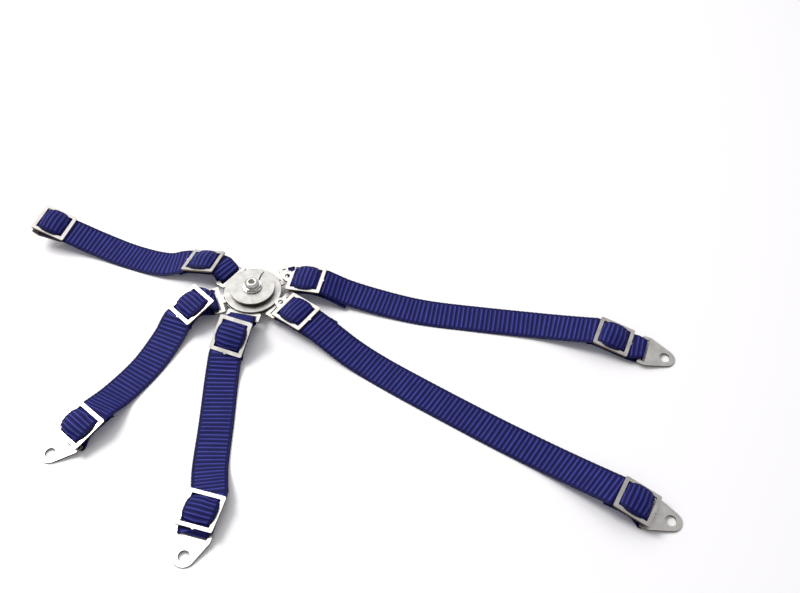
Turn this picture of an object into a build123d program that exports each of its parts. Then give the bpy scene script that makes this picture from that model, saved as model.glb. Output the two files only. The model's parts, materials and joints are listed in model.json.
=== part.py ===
from build123d import *
import os
from math import atan2, cos, degrees, radians, sin

# Five-strap racing harness for a one-tenth scale model car, in millimetres.
# The origin lies on the table under the hub's screw axis.  +Z points off the
# wearer's chest, +X runs up towards the shoulders and +Y to the wearer's right.

# ---------------------------------------------------------------- ribbon
RIBBON_WIDTH = 7.0          # quarter-inch grosgrain ribbon
RIBBON_THICK = 0.42
LOOP_WIDTH = 5.7            # the ribbon bunches where it passes through a slot
HUMP_WIDTH = 5.5            # and where it rises through a buckle
TAIL_LENGTH = 1.5           # cut end showing past a buckle
TAIL_STEP = 0.3             # length over which the doubled ribbon thins to one layer
TAIL_DROP = 0.1             # how much further down the tail hangs than the buckle's rim
HUMP_PEAK = 1.3             # top of the ribbon over a buckle's middle plane
HUMP_RADIUS = 2.45
BUCKLE_GAP = 0.08           # air between a buckle and the ribbon under it
LOOP_NECK = 0.7             # where the two layers meet behind a loop

# ---------------------------------------------------------------- sheet metal
SHEET = 0.4                 # etched stainless sheet
PLATE_WIDTH = 7.4           # buckles and latch plates, across the strap
BUCKLE_LENGTH = 7.6
BUCKLE_RIM = 0.8
CENTRE_BAR = 0.9
CORNER = 0.35
SLOT_CORNER = 0.2
SPRUE_NUB = 0.2             # stub left where the plate was cut from its sheet
SPRUE_WIDTH = 0.5
EAR_RADIUS = 1.25           # pull-tab ear of the shoulder adjusters
EAR_HOLE = 1.1
EAR_REACH = 4.25            # ear hole from the buckle's centre
EAR_NECK = (1.2, 3.0)       # block that joins the ear to the buckle's rim
EAR_NECK_AT = 3.725

# ---------------------------------------------------------------- hinge bars
HINGE_BAR = 0.7             # width of the bar that a ribbon loop runs round
LOOP_INNER = 0.5            # radius inside the loop, clear of the bar's corners
LOOP_OUTER = LOOP_INNER + RIBBON_THICK
SLOT_LENGTH = 0.85
SLOT_WIDTH = 5.9

# ---------------------------------------------------------------- hub
HUB_RADIUS = 6.25
NUT_HEIGHT = 1.6            # M2 hexagon nut
NUT_FLATS = 4.0
NUT_HOLE = 1.02
AIR = 0.1                   # running gap between stacked plates
BASE_TOP = NUT_HEIGHT + SHEET
TONGUE_Z = BASE_TOP + AIR + SHEET / 2
FACE_BOTTOM = BASE_TOP + 2 * AIR + SHEET
FACE_TOP = FACE_BOTTOM + SHEET
SCREW_RADIUS = 1.0
SCREW_HOLE = 1.05
SLEEVE_RADIUS = 1.35
POST_RADIUS = 0.5           # posts that the latch tongues hook over
POST_CIRCLE = 4.6
POST_FIT = 0.05             # radial running clearance on posts and bush
BUSH_FLANGE = 2.5
BUSH_JOURNAL = 1.5
FLANGE_HEIGHT = 0.58
DISC_RADIUS = 4.8           # release disc
DISC_BOTTOM = FACE_TOP + FLANGE_HEIGHT + AIR
DISC_TOP = DISC_BOTTOM + SHEET
NOSE_ANGLE = 72.0           # thumb nose on the release disc's rim
NOSE_RADIUS = 1.0
NOSE_REACH = 0.45
SLIT_WIDTH = 0.36           # comma-shaped slit: an arc through three points
SLIT_OUTER = (2.45, 4.6)
SLIT_MIDDLE = (1.65, 3.3)
SLIT_INNER = (1.35, 2.15)
EDGE_BREAK = 0.08
WASHER_RADIUS = 2.1
WASHER_THICK = 0.3
WASHER_BOTTOM = DISC_TOP + AIR
HEAD_BOTTOM = WASHER_BOTTOM + WASHER_THICK
HEAD_HEIGHT = 1.35
HEAD_CORNERS = 1.98         # hexagonal foot of the head, centre to corner
HEAD_FOOT = 0.45
COLLAR_RADIUS = 1.55        # round collar above the foot
COLLAR_SHOULDER = 0.95
HEAD_TOP_RADIUS = 1.05
SCREW_TIP = 0.15            # chamfer at the end of the shank
HEX_SOCKET = 1.3            # across flats
HEX_DEPTH = 0.8

# ---------------------------------------------------------------- latch plates
TONGUE_WIDTH = 2.4
TONGUE_SLOT_AT = 3.9        # middle of the post slot from the hinge bar
TONGUE_PLAY = 0.85          # the post slot lets the tongue slide this far
LATCH_RIM = 0.85            # bar on the hub side of the latch slot

# ---------------------------------------------------------------- anchors
ANCHOR_WIDTH = 7.5
ANCHOR_HOLE = 2.2           # clears an M2 screw
ANCHOR_HOLE_AT = 5.0
ANCHOR_TIP = 2.15


class Strap:
    """One strap of the harness, laid out from the hub to its anchor.

    A buckle is given as x, y, z, yaw, pitch and roll: yaw turns its length
    about +Z, a positive pitch lifts its outer end, roll tilts it sideways.
    """

    def __init__(self, post, bar, near, route, far, anchor_offset, anchor_z,
                 anchor_yaw, anchor_pitch, ear=False, feet=(-0.7, -0.7)):
        self.post = post                    # angle of its post round the hub
        self.bar = bar                      # latch hinge bar, x and y
        self.near = near                    # buckle at the hub end
        self.route = route                  # ribbon between the buckles: x, y, z
        self.far = far                      # buckle at the anchor end
        self.anchor_offset = anchor_offset  # hinge bar from the far buckle's centre
        self.anchor_z = anchor_z
        self.anchor_yaw = anchor_yaw
        self.anchor_pitch = anchor_pitch
        self.ear = ear                      # shoulder buckles carry an ear
        self.feet = feet                    # where the near hump meets the ribbon below

    def post_at(self):
        angle = radians(self.post)
        return POST_CIRCLE * cos(angle), POST_CIRCLE * sin(angle)

    def latch_yaw(self):
        px, py = self.post_at()
        return degrees(atan2(self.bar[1] - py, self.bar[0] - px))

    def anchor_at(self):
        x, y = self.far[0], self.far[1]
        yaw = radians(self.anchor_yaw)
        return x + self.anchor_offset * cos(yaw), y + self.anchor_offset * sin(yaw)


LYING = 0.25                # middle of a single ribbon that rests on the table

STRAPS = {
    "shoulder_right": Strap(
        post=30, bar=(8.2, 4.2), near=(11.5, 2.6, 3.75, -12, 3, 0),
        route=[(20.4, 0.7, 1.4), (29.3, -2.0, 0.5), (37.0, -4.0, LYING),
               (48.5, -5.9, LYING), (62.0, -8.2, 0.8)],
        far=(76.7, -12.7, 2.8, -22, -11, 0),
        anchor_offset=6.1, anchor_z=1.05, anchor_yaw=-20, anchor_pitch=-8, ear=True),
    "shoulder_left": Strap(
        post=-30, bar=(6.9, -4.4), near=(9.8, -6.5, 3.55, -36, 0, 0),
        route=[(21.5, -15.2, 0.9), (27.0, -19.0, LYING), (34.6, -24.2, LYING),
               (48.0, -33.0, LYING), (61.4, -41.5, 0.8)],
        far=(76.0, -51.9, 3.2, -29, -14, -3),
        anchor_offset=1.8, anchor_z=1.05, anchor_yaw=-22, anchor_pitch=-8, ear=True),
    "lap_right": Strap(
        post=136, bar=(-5.9, 5.2), near=(-11.6, 8.0, 3.6, 165, -10, 9),
        route=[(-20.5, 9.6, 0.8), (-28.8, 12.4, LYING), (-36.5, 15.4, 1.2)],
        far=(-46.4, 18.6, 4.8, 163, 18, 0),
        anchor_offset=3.4, anchor_z=4.55, anchor_yaw=163, anchor_pitch=-143, feet=(-1.3, -0.7)),
    "crotch": Strap(
        post=-163, bar=(-8.45, -2.75), near=(-12.7, -4.6, 3.6, -136, -14, 6),
        route=[(-16.8, -10.6, 1.0), (-20.5, -18.2, LYING), (-25.5, -26.0, 0.8)],
        far=(-31.1, -34.8, 3.0, -131, -11, 0),
        anchor_offset=2.1, anchor_z=1.05, anchor_yaw=-136, anchor_pitch=-8, feet=(-1.3, -0.7)),
    "lap_left": Strap(
        post=-103, bar=(-1.7, -7.5), near=(-3.3, -13.3, 3.8, -111, -30, 0),
        route=[(-4.7, -22.0, 0.5), (-4.7, -32.0, LYING), (-4.7, -43.0, 0.6)],
        far=(-5.0, -53.4, 2.55, -106, -3, 0),
        anchor_offset=3.6, anchor_z=1.05, anchor_yaw=-106, anchor_pitch=-8, feet=(-3.0, -1.1)),
}


def disc(radius, bottom, top):
    return Pos(0, 0, (bottom + top) / 2) * Cylinder(radius, top - bottom)


def plate(sketch):
    """Sheet metal with its middle plane at z = 0."""
    return extrude(sketch, amount=SHEET / 2, both=True)


def posed(shape, x, y, z, yaw, pitch=0, roll=0):
    return Pos(x, y, z) * Rot(0, 0, yaw) * Rot(0, -pitch, 0) * Rot(roll, 0, 0) * shape


def save(shape, name):
    export_step(shape, "parts/" + name + ".step")


# ---------------------------------------------------------------- hub pieces
def hub_base_plate():
    """Lower disc with the five posts that the latch tongues hook over."""
    shape = disc(HUB_RADIUS, NUT_HEIGHT, BASE_TOP)
    for strap in STRAPS.values():
        x, y = strap.post_at()
        shape += Pos(x, y) * disc(POST_RADIUS, NUT_HEIGHT, FACE_BOTTOM)
    return shape - disc(SCREW_HOLE, 0, FACE_TOP)


def hub_face_plate():
    shape = disc(HUB_RADIUS, FACE_BOTTOM, FACE_TOP)
    shape -= disc(SCREW_HOLE, 0, DISC_TOP)
    rim = shape.edges().group_by(Axis.Z)[-1].sort_by(SortBy.RADIUS)[-1:]
    return chamfer(rim, EDGE_BREAK)


def hub_sleeve():
    return disc(SLEEVE_RADIUS, BASE_TOP, FACE_BOTTOM) - disc(SCREW_HOLE, 0, DISC_TOP)


def hub_bush():
    """Flanged bush: spaces the release disc off the face and is its bearing."""
    shape = disc(BUSH_FLANGE, FACE_TOP, FACE_TOP + FLANGE_HEIGHT)
    shape += disc(BUSH_JOURNAL, FACE_TOP, WASHER_BOTTOM)
    return shape - disc(SCREW_HOLE, 0, HEAD_BOTTOM)


def release_disc():
    """Small top disc with its thumb nose and the comma-shaped slit beside it."""
    nose_at = DISC_RADIUS + NOSE_REACH - NOSE_RADIUS
    outline = Circle(DISC_RADIUS) + Rot(0, 0, NOSE_ANGLE) * Pos(nose_at, 0) * Circle(NOSE_RADIUS)
    outline -= SlotArc(ThreePointArc(SLIT_OUTER, SLIT_MIDDLE, SLIT_INNER), SLIT_WIDTH)
    outline -= Circle(BUSH_JOURNAL + POST_FIT)
    return Pos(0, 0, DISC_BOTTOM) * extrude(outline, amount=SHEET)


def hub_washer():
    return disc(WASHER_RADIUS, WASHER_BOTTOM, HEAD_BOTTOM) - disc(SCREW_HOLE, 0, HEAD_BOTTOM + 1)


def hub_screw():
    """Socket screw: a hexagonal foot, then a round collar that narrows to a ring."""
    shoulder = HEAD_BOTTOM + COLLAR_SHOULDER
    top = HEAD_BOTTOM + HEAD_HEIGHT
    profile = Polyline(
        (0, 0), (SCREW_RADIUS - SCREW_TIP, 0), (SCREW_RADIUS, SCREW_TIP),
        (SCREW_RADIUS, HEAD_BOTTOM), (COLLAR_RADIUS, HEAD_BOTTOM), (COLLAR_RADIUS, shoulder),
        (HEAD_TOP_RADIUS, top), (0, top), (0, 0))
    body = revolve(Plane.XZ * make_face(profile), axis=Axis.Z)
    body += Pos(0, 0, HEAD_BOTTOM) * extrude(RegularPolygon(HEAD_CORNERS, 6), amount=HEAD_FOOT)
    socket = RegularPolygon(HEX_SOCKET / 2, 6, major_radius=False)
    return body - Pos(0, 0, top - HEX_DEPTH) * extrude(socket, amount=HEX_DEPTH)


def hub_nut():
    nut = extrude(RegularPolygon(NUT_FLATS / 2, 6, major_radius=False), amount=NUT_HEIGHT)
    return nut - disc(NUT_HOLE, 0, NUT_HEIGHT)


# ---------------------------------------------------------------- strap metal
def buckle(ear):
    """Three-bar slider; shoulder ones add an ear with a hole on the hub side."""
    outline = RectangleRounded(BUCKLE_LENGTH, PLATE_WIDTH, CORNER)
    outline += Pos(BUCKLE_LENGTH / 2, 0) * Rectangle(2 * SPRUE_NUB, SPRUE_WIDTH)
    if ear:
        outline += Pos(-EAR_REACH, 0) * Circle(EAR_RADIUS)
        outline += Pos(-EAR_NECK_AT, 0) * Rectangle(*EAR_NECK)
        outline -= Pos(-EAR_REACH, 0) * Circle(EAR_HOLE / 2)
    slot = (BUCKLE_LENGTH - 2 * BUCKLE_RIM - CENTRE_BAR) / 2
    for side in (-1, 1):
        centre = side * (CENTRE_BAR + slot) / 2
        outline -= Pos(centre, 0) * RectangleRounded(slot, PLATE_WIDTH - 2 * BUCKLE_RIM, SLOT_CORNER)
    return plate(outline)


def latch():
    """Slotted plate on the strap and a tongue that hooks over a hub post.

    Its hinge bar is centred on the local origin and +X points along the strap.
    """
    inner = HINGE_BAR / 2 + SLOT_LENGTH
    length = HINGE_BAR + SLOT_LENGTH + LATCH_RIM
    outline = Pos(HINGE_BAR / 2 - length / 2, 0) * RectangleRounded(length, PLATE_WIDTH, CORNER)
    slot_end = TONGUE_SLOT_AT + TONGUE_PLAY
    outline += Pos(-(inner + slot_end) / 2, 0) * Rectangle(slot_end - inner, TONGUE_WIDTH)
    outline += Pos(-slot_end, 0) * Circle(TONGUE_WIDTH / 2)
    outline -= Pos(-(HINGE_BAR + SLOT_LENGTH) / 2, 0) * Rectangle(SLOT_LENGTH, SLOT_WIDTH)
    post_slot = SlotCenterToCenter(2 * TONGUE_PLAY, 2 * (POST_RADIUS + POST_FIT))
    return plate(outline - Pos(-TONGUE_SLOT_AT, 0) * post_slot)


def anchor():
    """Three-cornered anchor plate; the ribbon runs round its inner bar."""
    outer = HINGE_BAR / 2 + SLOT_LENGTH + 0.5
    head = Pos((outer - HINGE_BAR / 2) / 2, 0) * Rectangle(outer + HINGE_BAR / 2, ANCHOR_WIDTH)
    head = fillet(head.vertices(), CORNER)
    tip = Pos(ANCHOR_HOLE_AT, 0) * Circle(ANCHOR_TIP)
    outline = make_hull((head + tip).edges())
    outline -= Pos((HINGE_BAR + SLOT_LENGTH) / 2, 0) * Rectangle(SLOT_LENGTH, SLOT_WIDTH)
    return plate(outline - Pos(ANCHOR_HOLE_AT, 0) * Circle(ANCHOR_HOLE / 2))


# ---------------------------------------------------------------- ribbon
def loop():
    """The ribbon where it turns round a hinge bar lying along local Y."""
    ring = Circle(LOOP_OUTER) - Circle(LOOP_INNER)
    return extrude(Plane.XZ * ring, amount=LOOP_WIDTH / 2, both=True)


def hump(foot_in, foot_out):
    """The ribbon where it rises through a buckle and over its centre bar.

    The feet are the heights at which it meets the ribbon below, on the hub
    side and on the outer side.
    """
    middle = HUMP_PEAK - HUMP_RADIUS
    inner = HUMP_RADIUS - RIBBON_THICK
    below_arch = Pos(0, -HUMP_RADIUS)
    outer_shape = Circle(HUMP_RADIUS) + below_arch * Rectangle(2 * HUMP_RADIUS, 2 * HUMP_RADIUS)
    inner_shape = Circle(inner) + below_arch * Rectangle(2 * inner, 2 * HUMP_RADIUS)
    band = Pos(0, middle) * (outer_shape - inner_shape)
    for side, foot in ((-1, foot_in), (1, foot_out)):
        below = Pos(side * HUMP_RADIUS / 2, foot - HUMP_RADIUS * 2)
        band -= below * Rectangle(HUMP_RADIUS, HUMP_RADIUS * 4)
    return extrude(Plane.XZ * band, amount=HUMP_WIDTH / 2, both=True)


def under_buckle(pose, along, extra=0):
    """The middle of the ribbon below a buckle's local point, as x, y, z, yaw, roll."""
    above = -SHEET / 2 - BUCKLE_GAP - RIBBON_THICK - extra
    point = posed(Pos(along, 0, above), *pose).position
    return point.X, point.Y, point.Z, pose[3], pose[5]


def beside_bar(bar, z, yaw, distance):
    """A point on the ribbon a short way along from a hinge bar."""
    angle = radians(yaw)
    return bar[0] + distance * cos(angle), bar[1] + distance * sin(angle), z, yaw, 0


def ribbon_sections(strap):
    """Stations along the ribbon: x, y, z, yaw, roll, then width and thickness."""
    double = (RIBBON_WIDTH, 2 * RIBBON_THICK)
    single = (RIBBON_WIDTH, RIBBON_THICK)
    neck = (LOOP_WIDTH, 2 * RIBBON_THICK)
    end = BUCKLE_LENGTH / 2
    tail = end + TAIL_LENGTH
    stations = []
    for distance in (LOOP_NECK, 2 * LOOP_NECK):
        stations.append(beside_bar(strap.bar, TONGUE_Z, strap.latch_yaw(), distance) + neck)
    stations.append(under_buckle(strap.near, end) + double)
    stations.append(under_buckle(strap.near, tail, TAIL_DROP) + double)
    stations.append(under_buckle(strap.near, tail + TAIL_STEP, TAIL_DROP) + single)
    ends = [strap.near[:2]] + [point[:2] for point in strap.route] + [strap.far[:2]]
    for i, (x, y, z) in enumerate(strap.route):
        before, after = ends[i], ends[i + 2]
        yaw = degrees(atan2(after[1] - before[1], after[0] - before[0]))
        stations.append((x, y, z, yaw, 0) + single)
    stations.append(under_buckle(strap.far, -tail - TAIL_STEP, TAIL_DROP) + single)
    stations.append(under_buckle(strap.far, -tail, TAIL_DROP) + double)
    stations.append(under_buckle(strap.far, -end) + double)
    if strap.anchor_offset > end:
        stations.append(under_buckle(strap.far, end, TAIL_DROP) + double)
    for distance in (-2 * LOOP_NECK, -LOOP_NECK):
        stations.append(beside_bar(strap.anchor_at(), strap.anchor_z, strap.anchor_yaw, distance)
                        + neck)
    return stations


def ribbon(strap):
    """The whole ribbon as one solid: flat band, loops at both ends, two humps."""
    sections = []
    for x, y, z, yaw, roll, width, thick in ribbon_sections(strap):
        along = Vector(1, 0, 0).rotate(Axis.Z, yaw)
        across = Vector(0, 1, 0).rotate(Axis.Z, yaw).rotate(Axis((0, 0, 0), along), roll)
        sections.append(Plane((x, y, z), x_dir=across, z_dir=along) * Rectangle(width, thick))
    shape = loft(sections, ruled=True)
    shape += posed(loop(), *strap.bar, TONGUE_Z, strap.latch_yaw())
    shape += posed(loop(), *strap.anchor_at(), strap.anchor_z, strap.anchor_yaw)
    shape += posed(hump(*strap.feet), *strap.near)
    shape += posed(hump(-0.7, -0.7), *strap.far)
    return shape


def build():
    os.makedirs("parts", exist_ok=True)
    save(hub_base_plate(), "hub_base_plate")
    save(hub_face_plate(), "hub_face_plate")
    save(hub_sleeve(), "hub_sleeve")
    save(hub_bush(), "hub_bush")
    save(release_disc(), "release_disc")
    save(hub_washer(), "hub_washer")
    save(hub_screw(), "hub_screw")
    save(hub_nut(), "hub_nut")
    for name, strap in STRAPS.items():
        save(posed(latch(), *strap.bar, TONGUE_Z, strap.latch_yaw()), name + "_latch")
        save(posed(buckle(strap.ear), *strap.near), name + "_hub_buckle")
        save(posed(buckle(False), *strap.far), name + "_end_buckle")
        save(posed(anchor(), *strap.anchor_at(), strap.anchor_z, strap.anchor_yaw,
                   strap.anchor_pitch), name + "_anchor")
        save(ribbon(strap), name + "_ribbon")


build()
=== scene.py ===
import json
import logging
from dataclasses import dataclass, field
from enum import Enum
from math import cos, pi, radians, sin
from typing import Optional

import bmesh
import bpy
import numpy as np
from mathutils import Matrix, Vector


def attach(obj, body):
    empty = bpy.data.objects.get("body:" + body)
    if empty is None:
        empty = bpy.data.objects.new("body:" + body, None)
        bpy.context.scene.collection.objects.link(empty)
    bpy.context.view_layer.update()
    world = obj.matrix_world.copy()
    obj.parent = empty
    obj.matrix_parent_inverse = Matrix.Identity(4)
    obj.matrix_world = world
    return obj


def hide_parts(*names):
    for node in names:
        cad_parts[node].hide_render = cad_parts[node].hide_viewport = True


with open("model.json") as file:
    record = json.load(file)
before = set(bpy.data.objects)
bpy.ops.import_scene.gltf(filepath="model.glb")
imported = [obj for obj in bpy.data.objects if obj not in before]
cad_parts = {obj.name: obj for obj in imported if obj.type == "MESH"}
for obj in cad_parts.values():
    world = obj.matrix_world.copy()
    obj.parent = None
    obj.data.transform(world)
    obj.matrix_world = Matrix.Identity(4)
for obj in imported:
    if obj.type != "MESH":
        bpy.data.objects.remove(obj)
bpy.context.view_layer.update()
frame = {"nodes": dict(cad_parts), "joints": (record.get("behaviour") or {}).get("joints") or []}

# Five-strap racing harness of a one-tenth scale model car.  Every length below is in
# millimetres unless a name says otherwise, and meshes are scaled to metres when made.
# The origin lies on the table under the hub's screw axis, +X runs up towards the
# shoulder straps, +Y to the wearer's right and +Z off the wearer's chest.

LOG = logging.getLogger("harness")

MM = 0.001
UP = Vector((0.0, 0.0, 1.0))

# Short names for the types
Array, Random = np.ndarray, np.random.Generator
Material, Mesh, Object = bpy.types.Material, bpy.types.Mesh, bpy.types.Object
Node, Socket = bpy.types.Node, bpy.types.NodeSocket
Colour = tuple[float, float, float, float]
Point = tuple[float, float, float]
Range = tuple[float, float]

# What the meshes carry for the materials
MAP = "millimetres"
# mask of the metal's walls, which are painted dark as a painted shade for the dark surroundings they reflect
PAINTED_WALL_SHADE = "painted_wall_shade"
# where a point is on its rib, for the painted valley shade and crest highlight
RIB = "rib"
SELVEDGE_DOTS = "selvedge"

# Ribbon as it is woven
RIBBON_WIDTH = 7.0
RIBBON_CORE = 0.2           # thickness under the ribs
RIB_HEIGHT = 0.13           # on each side
RIB_PITCH = 0.97
LAYER_STEP = 0.42           # from one layer's middle to the next
SELVEDGE = 0.5              # width of the flat woven edge

# Buckle that the ribbon threads through
BUCKLE_LENGTH = 7.6
SHEET = 0.4                 # thickness of the plate
RIBBON_GAP = 0.06           # between the plate and the ribbon under it
LOOP_RADIUS = 0.71          # middle of the ribbon round a hinge bar


class Layer(Enum):
    """One of the ribbon's two surfaces: the sign is the way it faces along the ribbon's normal."""

    TOP = 1.0
    BOTTOM = -1.0


class End(Enum):
    """Which end of a strap: the sign turns the buckle's own +X towards the strap's middle."""

    HUB = 1.0
    ANCHOR = -1.0


# ------------------------------------------------------------------ node trees
@dataclass
class Tree:
    """A node tree being wired: adds nodes and links them in one call."""

    nodes: bpy.types.bpy_prop_collection
    links: bpy.types.bpy_prop_collection

    MIX_INPUTS = (0, 6, 7)      # a colour mix's factor, first colour and second colour
    MIX_RESULT = 2

    @classmethod
    def of(cls, tree: bpy.types.NodeTree) -> "Tree":
        """Wraps a Blender node tree."""
        return cls(tree.nodes, tree.links)

    def add(self, kind: str, sockets: Optional[dict] = None, **settings: object) -> Node:
        """Adds one node.

        Args:
            kind: the node's Blender type name.
            sockets: input name or number to a constant, or to an output to link.
            settings: the node's own properties.

        Returns:
            The new node.
        """
        node = self.nodes.new(kind)
        for name, value in settings.items():
            setattr(node, name, value)
        for key, value in (sockets or {}).items():
            if isinstance(value, Socket):
                self.links.new(value, node.inputs[key])
            else:
                node.inputs[key].default_value = value
        return node

    def math(self, operation: str, *values: object, clamp: bool = False) -> Socket:
        """A Math node's result for the given numbers or outputs."""
        return self.add("ShaderNodeMath", dict(enumerate(values)), operation=operation,
                        use_clamp=clamp).outputs[0]

    def blend(self, factor: object, first: object, second: object) -> Socket:
        """A colour between first and second, by factor."""
        sockets = dict(zip(self.MIX_INPUTS, (factor, first, second)))
        return self.add("ShaderNodeMix", sockets, data_type="RGBA").outputs[self.MIX_RESULT]

    def span(self, value: object, source: Range, target: Range = (0.0, 1.0)) -> Socket:
        """Value carried from the source range to the target range, and held inside it."""
        return self.add("ShaderNodeMapRange", dict(enumerate((value, *source, *target)))).outputs[0]

    def noise(self, surface: Socket, scale: object, detail: float, roughness: float = 0.5) -> Socket:
        """Cloudy noise over a surface map, as a value."""
        return self.add("ShaderNodeTexNoise", {"Vector": surface, "Scale": scale, "Detail": detail,
                                               "Roughness": roughness}).outputs[0]

    def mask(self, name: str) -> Socket:
        """A mask that the mesh itself carries."""
        return self.add("ShaderNodeAttribute", attribute_name=name).outputs["Fac"]


@dataclass
class EffectGroup:
    """A shader node group with named inputs and outputs."""

    name: str
    inputs: dict[str, tuple[str, object]]
    outputs: tuple[str, ...]
    group: bpy.types.NodeTree = field(init=False)
    tree: Tree = field(init=False)
    given: bpy.types.bpy_prop_collection = field(init=False)
    result: bpy.types.bpy_prop_collection = field(init=False)

    def __post_init__(self) -> None:
        """Makes the group's sockets and its two end nodes."""
        self.group = bpy.data.node_groups.new(self.name, "ShaderNodeTree")
        for name, (kind, default) in self.inputs.items():
            socket = self.group.interface.new_socket(name=name, in_out="INPUT", socket_type=kind)
            if default is not None:
                socket.default_value = default
        for name in self.outputs:
            self.group.interface.new_socket(name=name, in_out="OUTPUT", socket_type="NodeSocketFloat")
        self.tree = Tree.of(self.group)
        self.given = self.tree.add("NodeGroupInput").outputs
        self.result = self.tree.add("NodeGroupOutput").inputs

    def give(self, name: str, value: Socket) -> None:
        """Links a value to one of the group's outputs."""
        self.tree.links.new(value, self.result[name])

    def use(self, tree: Tree, **sockets: object) -> Node:
        """Places the group in a material, with its own values."""
        return tree.add("ShaderNodeGroup", sockets, node_tree=self.group)


SCRATCH_NOISE = (4.0, 0.65)         # detail and roughness of each noise
CLOUD_NOISE = (5.0, 0.6)
FUZZ_NOISE = (6.0, 0.7)
CLOUD_SCALE = 0.55
SCRATCH_RANGE = (0.3, 0.7)          # the part of each noise that is stretched to a full mask
CLOUD_RANGE = (0.32, 0.68)


def make_grain() -> EffectGroup:
    """Fine scratches that run along a plate, and slow cloudy patches across it.

    Returns:
        The group, with the masks Scratch and Cloud.
    """
    made = EffectGroup(
        "Rolled grain",
        {"Surface": ("NodeSocketVector", None), "Fineness": ("NodeSocketFloat", 14.0),
         "Stretch": ("NodeSocketFloat", 0.05)},
        ("Scratch", "Cloud"))
    tree, given = made.tree, made.given
    parts = tree.add("ShaderNodeSeparateXYZ", {0: given["Surface"]}).outputs
    along = tree.math("MULTIPLY", parts[0], given["Stretch"])
    drawn = tree.add("ShaderNodeCombineXYZ", {0: along, 1: parts[1], 2: parts[2]}).outputs[0]
    fine = tree.noise(drawn, given["Fineness"], *SCRATCH_NOISE)
    made.give("Scratch", tree.span(fine, SCRATCH_RANGE))
    cloud = tree.noise(given["Surface"], CLOUD_SCALE, *CLOUD_NOISE)
    made.give("Cloud", tree.span(cloud, CLOUD_RANGE))
    return made


# Painted edge light: the finishes paint a piece's outer edges, darker on the etched plates as painted shade
# for the dark surroundings they reflect, lighter on the hub and screw as a painted highlight.
EDGE_LIGHT_REACH = 0.00012                # metres
EDGE_LIGHT_SAMPLES = 6
EDGE_LIGHT_FACING = (0.985, 0.8)          # how far a rounded normal has turned, from no painted edge light to full
EDGE_LIGHT_NOISE = (2.5, 3.0)
EDGE_LIGHT_BREAKS = (0.3, 0.6)
EDGE_LIGHT_LEFT = (0.45, 1.0)


def make_painted_edge_light() -> EffectGroup:
    """A mask that is white on a piece's outer edges, broken up so that it isn't a clean line, where the
    finishes paint edge light and shade.

    Returns:
        The group, with the mask Edge.
    """
    made = EffectGroup("Painted edge light and shade", {"Reach": ("NodeSocketFloat", EDGE_LIGHT_REACH),
                                     "Surface": ("NodeSocketVector", None)}, ("Edge",))
    tree, given = made.tree, made.given
    geometry = tree.add("ShaderNodeNewGeometry").outputs
    rounded = tree.add("ShaderNodeBevel", {"Radius": given["Reach"]}, samples=EDGE_LIGHT_SAMPLES).outputs[0]
    facing = tree.add("ShaderNodeVectorMath", {0: geometry["Normal"], 1: rounded},
                      operation="DOT_PRODUCT").outputs["Value"]
    broken = tree.noise(given["Surface"], *EDGE_LIGHT_NOISE)
    edge = tree.span(facing, EDGE_LIGHT_FACING)
    made.give("Edge", tree.math("MULTIPLY", edge, tree.span(broken, EDGE_LIGHT_BREAKS, EDGE_LIGHT_LEFT)))
    return made


THREAD_WANDER = (1.6, 2.0)
THREAD_SWAY = 0.12
FUZZ_SCALE = 9.0


def make_warp_threads() -> EffectGroup:
    """The fine threads that run lengthwise over a ribbon's ribs.

    Returns:
        The group, with the masks Thread and Fuzz.
    """
    made = EffectGroup(
        "Warp threads",
        {"Surface": ("NodeSocketVector", None), "Pitch": ("NodeSocketFloat", 0.16)},
        ("Thread", "Fuzz"))
    tree, given = made.tree, made.given
    parts = tree.add("ShaderNodeSeparateXYZ", {0: given["Surface"]}).outputs
    wander = tree.noise(given["Surface"], *THREAD_WANDER)
    shifted = tree.math("MULTIPLY_ADD", wander, THREAD_SWAY, parts[0])
    turns = tree.math("MULTIPLY", tree.math("DIVIDE", shifted, given["Pitch"]), 2 * pi)
    wave = tree.math("SINE", turns)
    made.give("Thread", tree.math("MULTIPLY_ADD", wave, 0.5, 0.5))
    made.give("Fuzz", tree.noise(given["Surface"], FUZZ_SCALE, *FUZZ_NOISE))
    return made


@dataclass
class Effects:
    """The shared node groups, built once."""

    grain: EffectGroup
    # painted edge light and shade on the metal's outer edges
    painted_edge_light: EffectGroup
    threads: EffectGroup

    @classmethod
    def build(cls) -> "Effects":
        """Makes every shared group."""
        return cls(make_grain(), make_painted_edge_light(), make_warp_threads())


# ------------------------------------------------------------------ finishes
def new_material(name: str) -> tuple[Material, Tree, Node]:
    """A material with its Principled shader.

    Args:
        name: the material's name.

    Returns:
        The material, its tree, and its shader node.
    """
    made = bpy.data.materials.new(name)
    made.use_nodes = True
    tree = Tree.of(made.node_tree)
    return made, tree, tree.nodes["Principled BSDF"]


def dress(tree: Tree, shader: Node, colour: Socket, rough: Socket,
          bump: tuple[Socket, float, float]) -> None:
    """Links a shader's colour, roughness and relief.

    Args:
        tree: the material's tree.
        shader: its Principled shader.
        colour: the base colour.
        rough: the roughness.
        bump: the relief's height, its strength, and its depth in millimetres.
    """
    height, strength, depth = bump
    relief = tree.add("ShaderNodeBump", {"Strength": strength, "Distance": depth * MM, "Height": height})
    tree.links.new(colour, shader.inputs["Base Color"])
    tree.links.new(rough, shader.inputs["Roughness"])
    tree.links.new(relief.outputs[0], shader.inputs["Normal"])


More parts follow.
